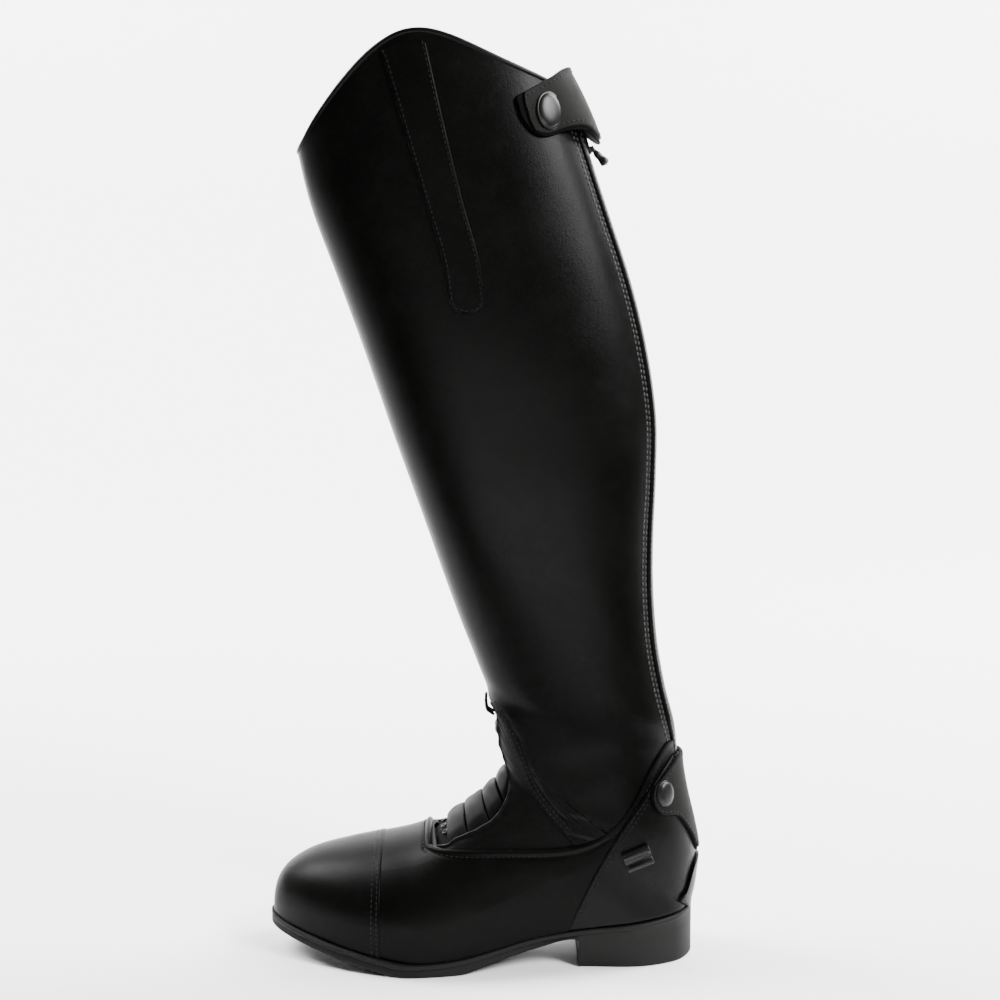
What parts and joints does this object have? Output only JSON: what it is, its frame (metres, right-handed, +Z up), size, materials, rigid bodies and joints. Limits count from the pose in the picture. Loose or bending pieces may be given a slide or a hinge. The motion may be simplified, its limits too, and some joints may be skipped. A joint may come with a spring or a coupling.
{
  "type": "field boot",
  "caption": "Tall black leather riding boot for the left foot, with a laced instep, toe cap, back zip, snapped top strap and heel tab, and a low block heel.",
  "frame": {"origin": "on the floor under the middle of the boot's box", "axes": "+X to the toe, +Y to the outer side, +Z up the shaft"},
  "size_m": [0.2662, 0.0954, 0.55],
  "materials": {
    "black_leather": "polished smooth grain",
    "sole_rubber": "matte",
    "lining_leather": "matte lining",
    "lace_elastic": "woven elastic",
    "black_metal": "black, half gloss",
    "zip_tape_fabric": "woven",
    "zip_teeth": "moulded"
  },
  "bodies": {
    "boot": {"outsole": "sole_rubber", "insole": "lining_leather", "upper": "black_leather", "tongue": "black_leather", "toe_cap": "black_leather", "vamp": "black_leather", "counter": "black_leather", "eyestay_out": "black_leather", "eyestay_in": "black_leather", "laces": "lace_elastic", "lace_loop": "lace_elastic", "eyelet_out_1": "black_metal", "eyelet_out_2": "black_metal", "eyelet_in_1": "black_metal", "eyelet_in_2": "black_metal", "stay_strip": "black_leather", "collar_piping": "black_leather", "zip_strip_out": "black_leather", "zip_strip_in": "black_leather", "zip_tape": "zip_tape_fabric", "zip_chain": "zip_teeth", "zip_slider": "black_metal", "top_strap": "black_leather", "top_snap": "black_metal", "heel_tab": "black_leather", "heel_snap": "black_metal", "spur_rest": "black_leather", "spur_lug": "sole_rubber"},
    "zip_pull": {"zip_pull": "black_metal"}
  },
  "joints": [
    {"name": "pull_hinge", "type": "hinge", "parent": "boot", "child": "zip_pull", "pos_m": [-0.06381, -0.00003, 0.4892], "axis": [0, 1, 0], "range_deg": [-20, 35]}
  ]
}
